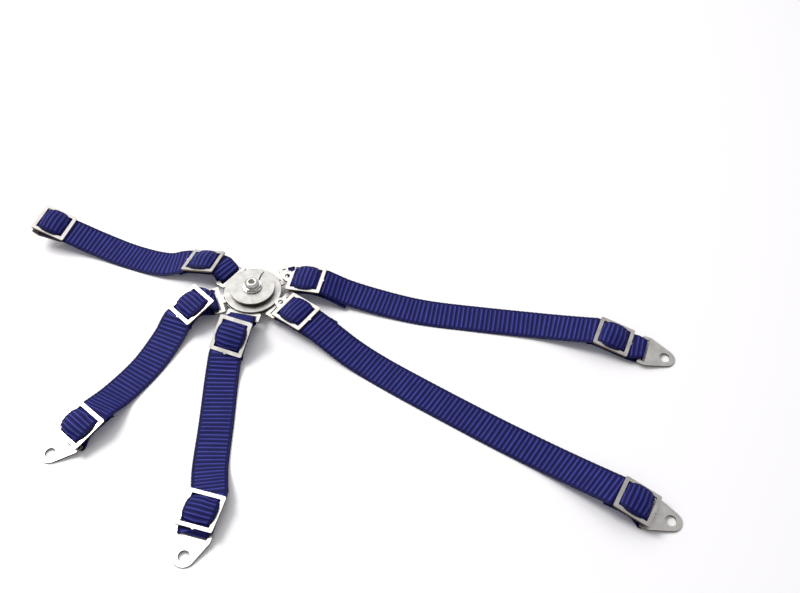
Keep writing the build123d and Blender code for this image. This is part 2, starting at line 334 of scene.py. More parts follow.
@dataclass(frozen=True)
class SteelFinish:
    """Bare stainless steel: rolled and etched sheet, or turned bar."""

    name: str
    bright: Colour
    dull: Colour
    # edge: painted edge light, darker than the sheet on the plates (painted shade), lighter on the hub and
    # screw (painted highlight)
    edge: Colour
    # cut: painted shade on the walls, darker than the faces, for the dark surroundings they reflect
    cut: Colour
    roughness: Range
    fineness: float
    stretch: float
    scratch_depth: float

    SCRATCH_SHINE = 0.35
    EDGE_LIGHT_SHARE = 0.75
    CLOUD_ROUGHNESS = 0.08
    CLOUD_HEIGHT = 0.5
    BUMP = 0.35

    def make(self, effects: Effects) -> Material:
        """Builds the steel material from the shared grain, with painted edge light and painted shade on the
        walls.

        Args:
            effects: the shared node groups.

        Returns:
            The material.
        """
        made, tree, shader = new_material(self.name)
        surface = tree.add("ShaderNodeUVMap", uv_map=MAP).outputs[0]
        grain = effects.grain.use(tree, Surface=surface, Fineness=self.fineness,
                                  Stretch=self.stretch).outputs
        edge = effects.painted_edge_light.use(tree, Surface=surface).outputs[0]
        mottled = tree.blend(grain["Cloud"], self.dull, self.bright)
        shine = tree.math("MULTIPLY", grain["Scratch"], self.SCRATCH_SHINE)
        lined = tree.blend(shine, mottled, self.bright)
        # painted edge light: the outer edges are painted darker on the plates and lighter on the hub and
        # screw
        edge_lit = tree.blend(tree.math("MULTIPLY", edge, self.EDGE_LIGHT_SHARE), lined, self.edge)
        # painted shade: the walls are painted dark
        colour = tree.blend(tree.mask(PAINTED_WALL_SHADE), edge_lit, self.cut)
        smoothest, roughest = self.roughness
        rough = tree.math("MULTIPLY_ADD", grain["Scratch"], roughest - smoothest, smoothest)
        rough = tree.math("MULTIPLY_ADD", grain["Cloud"], self.CLOUD_ROUGHNESS, rough, clamp=True)
        height = tree.math("MULTIPLY_ADD", grain["Cloud"], self.CLOUD_HEIGHT, grain["Scratch"])
        dress(tree, shader, colour, rough, (height, self.BUMP, self.scratch_depth))
        shader.inputs["Metallic"].default_value = 1.0
        return made


@dataclass(frozen=True)
class GrosgrainFinish:
    """Ribbed polyester ribbon: warp threads over thick cross ribs, with a woven selvedge; its valleys get
    painted shade and its crests a painted highlight.
    """

    name: str
    # valley: painted shade in the grooves between the ribs; flank: the ribbon's own navy; crest: a painted
    # highlight along each rib's top
    valley: Colour
    flank: Colour
    crest: Colour
    stitch: Colour
    thread_depth: float

    FLANK_RANGE = (0.1, 0.7)
    # width and strength of the painted crest highlight
    CREST_POWER = 12.0
    CREST_SHARE = 0.9
    THREAD_SHADE = 0.32
    PATCH_NOISE = (0.35, 4.0)
    PATCH_RANGE = (0.4, 0.75)
    PATCH_SHADE = (0.0, 0.35)
    STITCH_POWER = 4.0
    STITCH_SHARE = 0.8
    FUZZ_RANGE = (0.3, 0.7)
    ROUGHNESS = (0.42, 0.62)
    SPECULAR = 0.13
    SHEEN = 0.02
    SHEEN_ROUGHNESS = 0.35
    SHEEN_TINT = (0.45, 0.47, 1.0, 1.0)
    FUZZ_HEIGHT = 0.6
    BUMP = 0.6

    def colour(self, tree: Tree, surface: Socket, thread: Socket) -> Socket:
        """The ribbon's colour, from the ribs and selvedge that the mesh carries, with painted shade in the
        valleys and a painted highlight on the crests.

        Args:
            tree: the material's tree.
            surface: the surface map.
            thread: the mask of the warp threads.

        Returns:
            The colour.
        """
        rib, selvedge = tree.mask(RIB), tree.mask(SELVEDGE_DOTS)
        # painted shade: darker down in each valley between the ribs
        colour = tree.blend(tree.span(rib, self.FLANK_RANGE), self.valley, self.flank)
        # painted highlight: a thin light line along each rib's crest
        crest = tree.math("MULTIPLY", tree.math("POWER", rib, self.CREST_POWER), self.CREST_SHARE)
        colour = tree.blend(crest, colour, self.crest)
        threaded = tree.math("MULTIPLY", tree.math("SUBTRACT", 1.0, thread), self.THREAD_SHADE)
        colour = tree.blend(threaded, colour, self.valley)
        patch = tree.span(tree.noise(surface, *self.PATCH_NOISE), self.PATCH_RANGE, self.PATCH_SHADE)
        colour = tree.blend(patch, colour, self.valley)
        dots = tree.math("MULTIPLY", selvedge, tree.math("POWER", rib, self.STITCH_POWER))
        return tree.blend(tree.math("MULTIPLY", dots, self.STITCH_SHARE), colour, self.stitch)

    def make(self, effects: Effects) -> Material:
        """Builds the ribbon material.

        Args:
            effects: the shared node groups.

        Returns:
            The material.
        """
        made, tree, shader = new_material(self.name)
        surface = tree.add("ShaderNodeUVMap", uv_map=MAP).outputs[0]
        threads = effects.threads.use(tree, Surface=surface).outputs
        colour = self.colour(tree, surface, threads["Thread"])
        rough = tree.span(threads["Fuzz"], self.FUZZ_RANGE, self.ROUGHNESS)
        height = tree.math("MULTIPLY_ADD", threads["Fuzz"], self.FUZZ_HEIGHT, threads["Thread"])
        dress(tree, shader, colour, rough, (height, self.BUMP, self.thread_depth))
        shader.inputs["Specular IOR Level"].default_value = self.SPECULAR
        shader.inputs["Sheen Weight"].default_value = self.SHEEN
        shader.inputs["Sheen Roughness"].default_value = self.SHEEN_ROUGHNESS
        shader.inputs["Sheen Tint"].default_value = self.SHEEN_TINT
        return made


PLATE_STEEL = SteelFinish(
    "Etched plate steel", bright=(0.74, 0.72, 0.69, 1.0), dull=(0.56, 0.54, 0.51, 1.0),
    edge=(0.42, 0.38, 0.33, 1.0), cut=(0.12, 0.09, 0.06, 1.0), roughness=(0.3, 0.42),
    fineness=9.0, stretch=0.06, scratch_depth=0.01)
HUB_STEEL = SteelFinish(
    "Brushed hub steel", bright=(0.62, 0.61, 0.59, 1.0), dull=(0.4, 0.39, 0.37, 1.0),
    edge=(0.82, 0.81, 0.79, 1.0), cut=(0.2, 0.17, 0.13, 1.0), roughness=(0.3, 0.46),
    fineness=11.0, stretch=0.12, scratch_depth=0.012)
SCREW_STEEL = SteelFinish(
    "Turned screw steel", bright=(0.82, 0.81, 0.8, 1.0), dull=(0.6, 0.58, 0.55, 1.0),
    edge=(0.95, 0.94, 0.92, 1.0), cut=(0.5, 0.48, 0.45, 1.0), roughness=(0.16, 0.28),
    fineness=16.0, stretch=0.5, scratch_depth=0.008)
NAVY_GROSGRAIN = GrosgrainFinish(
    "Navy grosgrain", valley=(0.003, 0.003, 0.045, 1.0), flank=(0.008, 0.01, 0.125, 1.0),
    crest=(0.078, 0.084, 0.41, 1.0), stitch=(0.55, 0.55, 0.8, 1.0), thread_depth=0.03)


@dataclass
class Wardrobe:
    """The finished materials, one for each of the record's slots."""

    plate: Material
    hub: Material
    screw: Material
    ribbon: Material

    @classmethod
    def build(cls) -> "Wardrobe":
        """Makes every material."""
        effects = Effects.build()
        return cls(PLATE_STEEL.make(effects), HUB_STEEL.make(effects), SCREW_STEEL.make(effects),
                   NAVY_GROSGRAIN.make(effects))


# ------------------------------------------------------------------ meshes
def placed(name: str, data: bpy.types.ID) -> Object:
    """A new object in the scene for a mesh, lamp or camera."""
    made = bpy.data.objects.new(name, data)
    bpy.context.scene.collection.objects.link(made)
    return made


def add_map(mesh: Mesh, places: Array) -> None:
    """Gives a mesh its surface map.

    Args:
        mesh: the mesh.
        places: U and V of every vertex, in millimetres.
    """
    corners = np.empty(len(mesh.loops), int)
    mesh.loops.foreach_get("vertex_index", corners)
    mesh.uv_layers.new(name=MAP).data.foreach_set("uv", places[corners].ravel())


@dataclass
class MetalPiece:
    """A sheet or turned piece: the CAD node's shape with its sharp edges broken."""

    node: str
    body: str
    slot: str
    material: Material
    edge_break: float = 0.05
    lay: Matrix = field(default_factory=Matrix)

    WELD = 0.0005
    FLAT = radians(0.4)
    SHARP = radians(32)
    CREASE = radians(50)
    WALL = 0.4                  # a face this square to the broadest one is a cut wall, which gets the painted wall shade
    SLANT = 0.35                # how much of its height moves a point on the map, so walls keep their grain

    def build(self) -> Object:
        """Makes the piece, dresses it and puts it in the CAD node's place.

        Returns:
            The piece.
        """
        mesh = self.broken_edges()
        self.lay_out(mesh)
        mesh.materials.clear()
        mesh.materials.append(self.material)
        piece = placed(self.node + "_metal", mesh)
        normals = piece.modifiers.new("even_normals", "WEIGHTED_NORMAL")
        normals.keep_sharp = True
        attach(piece, self.body)
        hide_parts(self.node)
        LOG.info("metal piece %s rides on %s", piece.name, self.body)
        return piece

    def broken_edges(self) -> Mesh:
        """The node's surface with every corner edge rounded over.

        Returns:
            The mesh, with its walls marked for the painted wall shade.
        """
        mesh = bpy.data.meshes.new(self.node + "_metal")
        work = bmesh.new()
        work.from_mesh(frame["nodes"][self.node].data)
        bmesh.ops.remove_doubles(work, verts=work.verts, dist=self.WELD * MM)
        bmesh.ops.dissolve_limit(work, angle_limit=self.FLAT, verts=work.verts, edges=work.edges)
        sharp = [e for e in work.edges if len(e.link_faces) == 2 and e.calc_face_angle() > self.SHARP]
        bmesh.ops.bevel(work, geom=sharp, offset=self.edge_break * MM, offset_type="OFFSET", segments=2,
                        profile=0.5, affect="EDGES", clamp_overlap=True)
        for face in work.faces:
            face.smooth = True
        for edge in work.edges:
            if len(edge.link_faces) == 2:
                edge.smooth = edge.calc_face_angle() < self.CREASE
        facing = np.array([f.normal[:] for f in work.faces])
        areas = np.array([f.calc_area() for f in work.faces])
        broad = facing[np.argmax(areas)]
        work.to_mesh(mesh)
        work.free()
        walls = np.abs(facing @ broad) < self.WALL
        mesh.attributes.new(PAINTED_WALL_SHADE, "FLOAT", "FACE").data.foreach_set("value", walls.astype(np.float32))
        return mesh

    def lay_out(self, mesh: Mesh) -> None:
        """Adds a map in millimetres whose U runs along the piece, for its grain.

        Args:
            mesh: the piece's mesh, in metres.
        """
        points = np.empty(len(mesh.vertices) * 3)
        mesh.vertices.foreach_get("co", points)
        turned = np.array(self.lay.to_3x3().inverted())
        flat = (points.reshape(-1, 3) / MM) @ turned.T
        while mesh.uv_layers:
            mesh.uv_layers.remove(mesh.uv_layers[0])
        add_map(mesh, flat[:, :2] + self.SLANT * flat[:, 2:3])


@dataclass
class Hub:
    """The round buckle: two plates, a release disc on its bush, and the screw that holds them."""

    wardrobe: Wardrobe

    GRAIN = radians(35)
    PLATES = (("hub_base_plate", "hub", 0.05), ("hub_face_plate", "hub", 0.04),
              ("release_disc", "release_disc", 0.05))
    TURNED = (("hub_sleeve", 0.03), ("hub_bush", 0.04), ("hub_washer", 0.05), ("hub_screw", 0.08),
              ("hub_nut", 0.08))

    def build(self) -> None:
        """Makes every hub piece."""
        lay = Matrix.Rotation(self.GRAIN, 4, "Z")
        for node, body, broken in self.PLATES:
            MetalPiece(node, body, "hub_steel", self.wardrobe.hub, broken, lay).build()
        for node, broken in self.TURNED:
            MetalPiece(node, "hub", "screw_steel", self.wardrobe.screw, broken).build()


# ------------------------------------------------------------------ ribbon
@dataclass(frozen=True)
class Lie:
    """How a buckle lies: its centre, and its turns in degrees."""

    x: float
    y: float
    z: float
    yaw: float
    pitch: float
    roll: float

    def matrix(self) -> Matrix:
        """The buckle's own frame; a positive pitch lifts its outer end."""
        return (Matrix.Translation((self.x, self.y, self.z)) @ Matrix.Rotation(radians(self.yaw), 4, "Z")
                @ Matrix.Rotation(radians(-self.pitch), 4, "Y") @ Matrix.Rotation(radians(self.roll), 4, "X"))


@dataclass(frozen=True)
class Tail:
    """The cut end of a ribbon, folded back under its buckle."""

    length: float = 1.5
    sideways: float = 0.0
    drop: float = 0.06
    skew: float = 0.0


@dataclass(frozen=True)
class Loop:
    """The ribbon where it turns round a hinge bar, and how it bulges on its way to the buckle."""

    width: float = 5.5
    sideways: float = 0.0
    bulge: float = 0.3
    slack: float = 0.0
    spread: float = 0.6


@dataclass
class Knot:
    """A place on the ribbon's middle line."""

    at: Vector
    across: Vector
    width: float = RIBBON_WIDTH
    crown: float = 0.0
    ruffle: float = 0.0


@dataclass
class StrapEnd:
    """One end of a strap: the cut tail, the loop round a hinge bar and the hump in the buckle."""

    end: End
    bar: Vector
    inward: Vector
    buckle: Matrix
    tail: Tail
    loop: Loop
    next_stop: Vector
    rim: float = field(init=False)
    upper: float = field(init=False)
    lower: float = field(init=False)
    offset: float = field(init=False)
    loop_across: Vector = field(init=False)

    # the lower layer, from the tail to the bar
    TAIL_SHARES = (1.0, 0.4)
    PINNED = 1.2                # how far inside each rim the lower layer is held
    BAR_CLEAR = 1.4             # no knot of the lower layer lies nearer the bar
    SAG = 0.04

    # the turn round the bar: degrees round it, and the share of the loop's spread there
    FIRST_TURN = -8
    TURNS = ((25, 0.3), (60, 0.0), (95, 0.0), (130, 0.25), (165, 1.0))
    TUCKED = 0.7                # a bar this far inside the rim is tucked under the buckle
    TUCKED_TURN = 100           # where the turn then stops
    LOOP_CROWN = 0.06
    SLACK_LEAN = 0.6

    # the open bridge from the loop to the buckle
    FREE = 1.2                  # a bar this far outside the rim leaves an open bridge
    BRIDGE_SPREAD = 1.4
    BRIDGE_WIDTH = 6.5
    BRIDGE_CROWN = 0.25
    BRIDGE_RUFFLE = 0.5
    ENTRY = 0.25
    NEAR_ENTRY = 0.35
    RIM_WIDTH = 6.8

    # the hump through the buckle, and the way out of it
    HUMP_HALF = 2.75
    HUMP_RISE = 1.56
    HUMP_POWER = 2.0 / 2.4
    HUMP_CROWN = 0.62
    SLOT_WIDTH = 5.3
    CREST_WIDTH = 6.5
    WIDENING = (1.6, 0.6)       # slope and start of the widening from slot to crest
    STEPS = 14
    UNDER_RIM = 0.6
    PAST_RIM = 0.1
    EXIT_TURN = 0.75            # how far the ribbon has turned to the strap's own way at the rim
    LEAD = 2.2

    def __post_init__(self) -> None:
        """Works out the layers' heights and how far the bar is from the buckle."""
        self.rim = BUCKLE_LENGTH / 2
        self.upper = -(SHEET / 2 + RIBBON_GAP + LAYER_STEP / 2)
        self.lower = self.upper - LAYER_STEP
        level = self.buckle.to_3x3() @ Vector((self.end.value, 0, 0))
        self.offset = -(self.bar - self.buckle.translation).dot(level)
        self.loop_across = UP.cross(self.inward) * self.end.value

    def here(self, x: float, z: float, **shape: float) -> Knot:
        """A knot in the buckle's frame, x towards the strap's middle."""
        across = self.buckle.to_3x3() @ Vector((0, 1, 0))
        return Knot(self.buckle @ Vector((self.end.value * x, 0, z)), across, **shape)

    def round_bar(self, degrees_round: float, width: float) -> Knot:
        """A knot on the loop.

        Args:
            degrees_round: 0 is under the bar, 90 beyond it and 180 over it.
            width: the ribbon's width there.

        Returns:
            The knot.
        """
        angle = radians(degrees_round)
        spot = self.bar - self.inward * (LOOP_RADIUS * sin(angle)) - UP * (LOOP_RADIUS * cos(angle))
        spot += self.loop_across * self.loop.sideways
        spot += (UP - self.SLACK_LEAN * self.inward) * (self.loop.slack * max(0.0, -cos(angle)))
        return Knot(spot, self.loop_across, width, crown=self.LOOP_CROWN)

    def knots(self) -> list[Knot]:
        """The middle line from the cut tail to where the strap leaves the buckle.

        Returns:
            The knots, in order.
        """
        leaving = self.here(self.rim + self.PAST_RIM, self.upper)
        ahead = (self.next_stop - leaving.at).normalized()
        level = UP.cross(ahead).normalized() * self.end.value
        made = [self.tail_knot(share, ahead, level) for share in self.TAIL_SHARES]
        made += self.lower_layer() + self.turn() + self.bridge() + self.hump()
        under_rim = self.here(self.rim - self.UNDER_RIM, self.upper, width=self.RIM_WIDTH)
        under_rim.across = (under_rim.across + level).normalized()
        leaving.across = ((1 - self.EXIT_TURN) * leaving.across + self.EXIT_TURN * level).normalized()
        return made + [under_rim, leaving, Knot(leaving.at + ahead * self.LEAD, level)]

    def tail_knot(self, share: float, ahead: Vector, level: Vector) -> Knot:
        """A knot on the cut tail, which lies along the strap's underside.

        Args:
            share: how far along the tail, 1 at its cut end.
            ahead: the way that the strap leaves the buckle.
            level: the level direction across the strap.

        Returns:
            The knot.
        """
        root = self.here(self.rim, self.lower).at
        place = (root + ahead * (self.tail.length * share) + level * (self.tail.sideways * share)
                 - UP * (self.tail.drop * share))
        return Knot(place, Matrix.Rotation(radians(self.tail.skew), 3, "Z") @ level)

    def lower_layer(self) -> list[Knot]:
        """The ribbon's run under the buckle, as far as the bar lets it go."""
        places = (self.rim - self.PINNED, 0.0, self.PINNED - self.rim, -self.rim)
        return [self.here(x, self.lower - self.SAG) for x in places if x > self.BAR_CLEAR - self.offset]

    def turn(self) -> list[Knot]:
        """The ribbon's turn round the hinge bar.

        Returns:
            The knots, in order.
        """
        made = [self.round_bar(self.FIRST_TURN, (self.loop.width + RIBBON_WIDTH) / 2)]
        for degrees_round, share in self.TURNS:
            if not self.tucked() or degrees_round < self.TUCKED_TURN:
                made.append(self.round_bar(degrees_round, self.loop.width + share * self.loop.spread))
        return made

    def tucked(self) -> bool:
        """Whether the bar lies under the buckle."""
        return self.offset < self.rim - self.TUCKED

    def bridge(self) -> list[Knot]:
        """The ribbon between its turn round the bar and the buckle's rim.

        Returns:
            The knots, in order; none where the bar is tucked under the buckle.
        """
        if self.offset > self.rim + self.FREE:
            widest = self.loop.width + self.BRIDGE_SPREAD * self.loop.spread
            over = self.round_bar(180, min(widest, RIBBON_WIDTH))
            under = self.here(self.ENTRY - self.rim, self.upper, width=self.RIM_WIDTH)
            middle = (over.at + under.at) / 2 + UP * self.loop.bulge
            across = (over.across + under.across).normalized()
            return [Knot(middle, across, self.BRIDGE_WIDTH, crown=self.BRIDGE_CROWN,
                         ruffle=self.BRIDGE_RUFFLE), under]
        if not self.tucked():
            return [self.here(self.NEAR_ENTRY - self.rim, self.upper, width=self.BRIDGE_WIDTH)]
        return []

    def hump(self) -> list[Knot]:
        """The ribbon's rise through the buckle and over its centre bar.

        Returns:
            The knots, in order.
        """
        made = []
        for step in range(1, self.STEPS):
            angle = pi * step / self.STEPS
            x = -self.HUMP_HALF * np.sign(cos(angle)) * abs(cos(angle)) ** self.HUMP_POWER
            rise = sin(angle) ** self.HUMP_POWER
            widened = max(0.0, self.WIDENING[0] * rise - self.WIDENING[1])
            width = self.SLOT_WIDTH + (self.CREST_WIDTH - self.SLOT_WIDTH) * widened
            made.append(self.here(x, self.upper + self.HUMP_RISE * rise, width=width,
                                  crown=self.HUMP_CROWN * rise, ruffle=1.0))
        return made


@dataclass(frozen=True)
class StrapLayout:
    """How one strap is laid out, from the hub to its anchor.

    The route holds x, y and z of the ribbon's middle between the buckles.
    """

    name: str
    near: Lie
    far: Lie
    route: tuple[Point, ...]
    near_tail: Tail = Tail()
    far_tail: Tail = Tail()
    near_loop: Loop = Loop()
    far_loop: Loop = Loop(bulge=0.1)
    seed: int = 1


def carried(values: Array, marks: Array, places: Array) -> Array:
    """Reads values that are known at marks along a line at other places along it.

    Args:
        values: one value or one row for each mark.
        marks: the marks' distances.
        places: the distances to read at.

    Returns:
        One value or one row for each place.
    """
    if values.ndim == 1:
        return np.interp(places, marks, values)
    return np.stack([np.interp(places, marks, values[:, j]) for j in range(3)], 1)


def unit(vectors: Array) -> Array:
    """Rows of vectors, each made one long."""
    return vectors / np.linalg.norm(vectors, axis=1, keepdims=True)


@dataclass
class Rows:
    """The ribbon's rows of points along it, several to each rib."""

    runs: Array
    phase: Array
    rise: Array

    PHASES = (0.0, 0.06, 0.15, 0.28, 0.4, 0.5, 0.6, 0.72, 0.85, 0.94)
    UNEVEN = 0.07               # of a rib's pitch
    RISE = (0.82, 1.1)
    ROUND = (0.75, 0.8)         # share and power of a rib's round body, then of its narrow crest
    CREST = (0.25, 8)

    @classmethod
    def lay(cls, length: float, rng: Random) -> "Rows":
        """Lays slightly uneven ribs along a ribbon.

        Args:
            length: the ribbon's length.
            rng: the strap's random numbers.

        Returns:
            The rows.
        """
        count = int(round(length / RIB_PITCH))
        starts = np.linspace(0, length, count + 1)
        starts[1:-1] += rng.uniform(-cls.UNEVEN, cls.UNEVEN, count - 1) * RIB_PITCH
        phases = np.array(cls.PHASES)
        runs = (starts[:-1, None] + np.diff(starts)[:, None] * phases).ravel()
        rise = np.repeat(rng.uniform(*cls.RISE, count), len(phases))
        return cls(np.append(runs, length), np.append(np.tile(phases, count), 0.0), np.append(rise, 1.0))

    def arch(self) -> Array:
        """How far each row is up its rib, from valley to crest."""
        return np.sin(pi * self.phase)

    def height(self) -> Array:
        """Each row's height, in shares of a rib's."""
        arch = self.arch()
        return (self.ROUND[0] * arch ** self.ROUND[1] + self.CREST[0] * arch ** self.CREST[1]) * self.rise

    def dotted(self) -> Array:
        """The rows of every second rib, whose selvedge shows a stitch."""
        return (np.arange(len(self.runs)) // len(self.PHASES)) % 2 == 0


@dataclass
class Weave:
    """The woven profile across the ribbon, column by column."""

    columns: Array = field(init=False)
    from_edge: Array = field(init=False)
    relief: Array = field(init=False)
    taper: Array = field(init=False)

    HALF = (0.5, 0.494, 0.484, 0.472, 0.458, 0.444, 0.432, 0.42, 0.39, 0.3, 0.16, 0.0)
    RIB_END = (0.06, 0.12)      # where a rib starts past the selvedge's groove, and over what width
    BEAD = 0.22                 # the selvedge's bead: its place and its half width
    BEAD_HEIGHT = 0.45
    GROOVE = 0.1
    GROOVE_DEPTH = 0.3
    DOT = 0.13

    def __post_init__(self) -> None:
        """Works out each column's place and how much of the ribs' height it takes."""
        half = np.array(self.HALF)
        self.columns = np.concatenate([-half, half[-2::-1]])
        self.from_edge = (0.5 - np.abs(self.columns)) * RIBBON_WIDTH
        body = np.clip((self.from_edge - SELVEDGE + self.RIB_END[0]) / self.RIB_END[1], 0, 1)
        bead = np.clip(1 - np.abs(self.from_edge - self.BEAD) / self.BEAD, 0, 1) ** 0.5 * self.BEAD_HEIGHT
        groove = np.clip(1 - np.abs(self.from_edge - SELVEDGE) / self.GROOVE, 0, 1)
        self.relief = np.maximum(body, bead) * (1 - self.GROOVE_DEPTH * groove)
        self.taper = np.clip(self.from_edge / self.BEAD, 0, 1) ** 0.5

    def dotted(self) -> Array:
        """The columns that a selvedge stitch covers."""
        return np.abs(self.from_edge - SELVEDGE / 2) < self.DOT


@dataclass
class RibbonMesh:
    """Turns a middle line into a ribbed, woven ribbon."""

    name: str
    knots: list[Knot]
    seed: int

    STEP = 0.02
    CURVE_STEPS = 24
    SOFT = {"width": 0.35, "crown": 0.4, "ruffle": 0.4}     # millimetres that each is smoothed over
    SOFT_PATH = 0.1
    SOFT_ACROSS = 0.5
    DRIFT = (9.0, 0.10)         # reach and size of each slow random wave
    BOW = (6.0, 0.05)
    TILT = (5.0, 0.06)
    HUMP_BOW = 0.10
    GATHER = 0.24               # the most that the folds take up
    FOLD = 0.55
    FOLDS = ((1.6, 0.15), (2.7, 0.6))
    SCALLOP = 0.05
    SCALLOP_FROM = 0.47
    RAGGED = (-0.12, 0.02)
    RAGGED_ROWS = 3

    def line(self) -> dict[str, Array]:
        """The smooth middle line, at even steps.

        Returns:
            Arrays of distance, position, across vector, width, crown and ruffle.
        """
        path, index = self.curve()
        run = np.concatenate([[0.0], np.cumsum(np.linalg.norm(np.diff(path, axis=0), axis=1))])
        even = np.arange(0.0, run[-1], self.STEP)
        order = np.arange(len(self.knots))
        placed = np.interp(even, run, index)

        def spread(values: Array, soft: float) -> Array:
            """Values at the knots carried along the line and smoothed over soft millimetres."""
            return self.smooth(np.interp(placed, order, values), soft)

        across = np.array([k.across for k in self.knots])
        made = {"run": even,
                "at": np.stack([self.smooth(np.interp(even, run, path[:, j]), self.SOFT_PATH)
                                for j in range(3)], 1),
                "across": np.stack([spread(across[:, j], self.SOFT_ACROSS) for j in range(3)], 1)}
        for key, soft in self.SOFT.items():
            made[key] = spread(np.array([getattr(k, key) for k in self.knots]), soft)
        return made

    def curve(self) -> tuple[Array, Array]:
        """A smooth curve through the knots.

        Returns:
            Its points, and each point's place in the list of knots.
        """
        spots = np.array([k.at for k in self.knots])
        chords = np.sqrt(np.linalg.norm(np.diff(spots, axis=0), axis=1))
        at = np.concatenate([[0.0], np.cumsum(chords)])
        slopes = np.gradient(spots, at, axis=0)
        fine, where = [], []
        last = len(spots) - 2
        for i in range(last + 1):
            share = np.linspace(0, 1, self.CURVE_STEPS, endpoint=i == last)[:, None]
            gap = at[i + 1] - at[i]
            fine.append((2 * share**3 - 3 * share**2 + 1) * spots[i] + (share**3 - 2 * share**2 + share)
                        * gap * slopes[i] + (3 * share**2 - 2 * share**3) * spots[i + 1]
                        + (share**3 - share**2) * gap * slopes[i + 1])
            where.append(i + share[:, 0])
        return np.concatenate(fine), np.concatenate(where)

    def smooth(self, values: Array, soft: float) -> Array:
        """A running Gaussian average, with the ends held.

        Args:
            values: one value for each step of the line.
            soft: the average's reach in millimetres.

        Returns:
            As many averaged values.
        """
        half = max(1, int(3 * soft / self.STEP))
        bell = np.exp(-0.5 * (np.arange(-half, half + 1) * self.STEP / soft) ** 2)
        bell /= bell.sum()
        low = 2 * values[0] - values[half:0:-1]
        high = 2 * values[-1] - values[-2:-half - 2:-1]
        return np.convolve(np.concatenate([low, values, high]), bell, mode="valid")

    def build(self, material: Material) -> Object:
        """Makes the ribbon's object from its rows of points.

        Args:
            material: the ribbon's material.

        Returns:
            The object, linked into the scene.
        """
        line = self.line()
        rng = np.random.default_rng(self.seed)
        rows, weave = Rows.lay(line["run"][-1], rng), Weave()
        columns = weave.columns
        at = {key: carried(line[key], line["run"], rows.runs)
              for key in ("at", "across", "width", "crown", "ruffle")}
        slope = np.stack([np.gradient(line["at"][:, j], self.STEP) for j in range(3)], 1)
        along = unit(carried(slope, line["run"], rows.runs))
        across = unit(at["across"] - along * np.sum(at["across"] * along, axis=1, keepdims=True))
        normal = np.cross(along, across)

        drift = self.wander(rng, rows.runs, *self.DRIFT)
        bow = self.HUMP_BOW * at["ruffle"] + self.wander(rng, rows.runs, *self.BOW)
        tilt = self.wander(rng, rows.runs, *self.TILT)
        shift = bow[:, None] * (1 - 4 * columns**2) + tilt[:, None] * 2 * columns
        scallop = (self.SCALLOP * rows.arch()[:, None] * (np.abs(columns) > self.SCALLOP_FROM)
                   * np.sign(columns))
        side = columns * at["width"][:, None] + scallop + drift[:, None]
        dome = -at["crown"][:, None] * (2 * columns) ** 2
        folds = self.folds(at["width"], at["ruffle"], drift, columns)

        surfaces = []
        for layer in Layer:
            lift = layer.value * (RIBBON_CORE / 2 * weave.taper
                                  + RIB_HEIGHT * weave.relief * rows.height()[:, None])
            out = dome + folds + lift
            surfaces.append(at["at"][:, None] + across[:, None] * side[..., None]
                            + normal[:, None] * out[..., None] + along[:, None] * shift[..., None])
        self.fray(surfaces, along, rng)
        return self.join(surfaces, rows, weave, side, material)

    def folds(self, width: Array, ruffle: Array, drift: Array, columns: Array) -> Array:
        """Lengthwise folds where a slot squeezes the ribbon narrower than it was woven.

        Args:
            width: each row's width.
            ruffle: how strongly each row folds.
            drift: each row's slow random wave.
            columns: each column's place across, from -0.5 to 0.5.

        Returns:
            How far each point stands off the middle line.
        """
        tight = np.clip(1 - width / RIBBON_WIDTH, 0, self.GATHER)
        (broad, start), (fine, share) = self.FOLDS
        waves = (np.cos(2 * pi * (columns * broad + start))
                 + share * np.cos(2 * pi * (columns * fine + drift[:, None])))
        return self.FOLD * tight[:, None] * ruffle[:, None] * waves

    def wander(self, rng: Random, runs: Array, reach: float, size: float) -> Array:
        """A slow random wave along the ribbon.

        Args:
            rng: the strap's random numbers.
            runs: the rows' distances.
            reach: about how long the wave is.
            size: its greatest height.

        Returns:
            The wave's height at each row.
        """
        marks = np.arange(-reach, runs[-1] + 2 * reach, reach)
        heights = rng.uniform(-size, size, len(marks))
        even = np.arange(0, runs[-1] + self.STEP, self.STEP)
        wave = self.smooth(np.interp(even, marks, heights), reach / 3)
        return wave[np.clip((runs / self.STEP).astype(int), 0, None)]

    def fray(self, surfaces: list[Array], along: Array, rng: Random) -> None:
        """Makes the two cut ends slightly uneven.

        Args:
            surfaces: the two surfaces' points, which are moved.
            along: each row's direction along the ribbon.
            rng: the strap's random numbers.
        """
        ragged = rng.uniform(*self.RAGGED, (2, surfaces[0].shape[1]))
        for points in surfaces:
            for row in range(self.RAGGED_ROWS):
                fade = 1 - row / self.RAGGED_ROWS
                points[row] -= along[0] * ragged[0][:, None] * fade
                points[-1 - row] += along[-1] * ragged[1][:, None] * fade

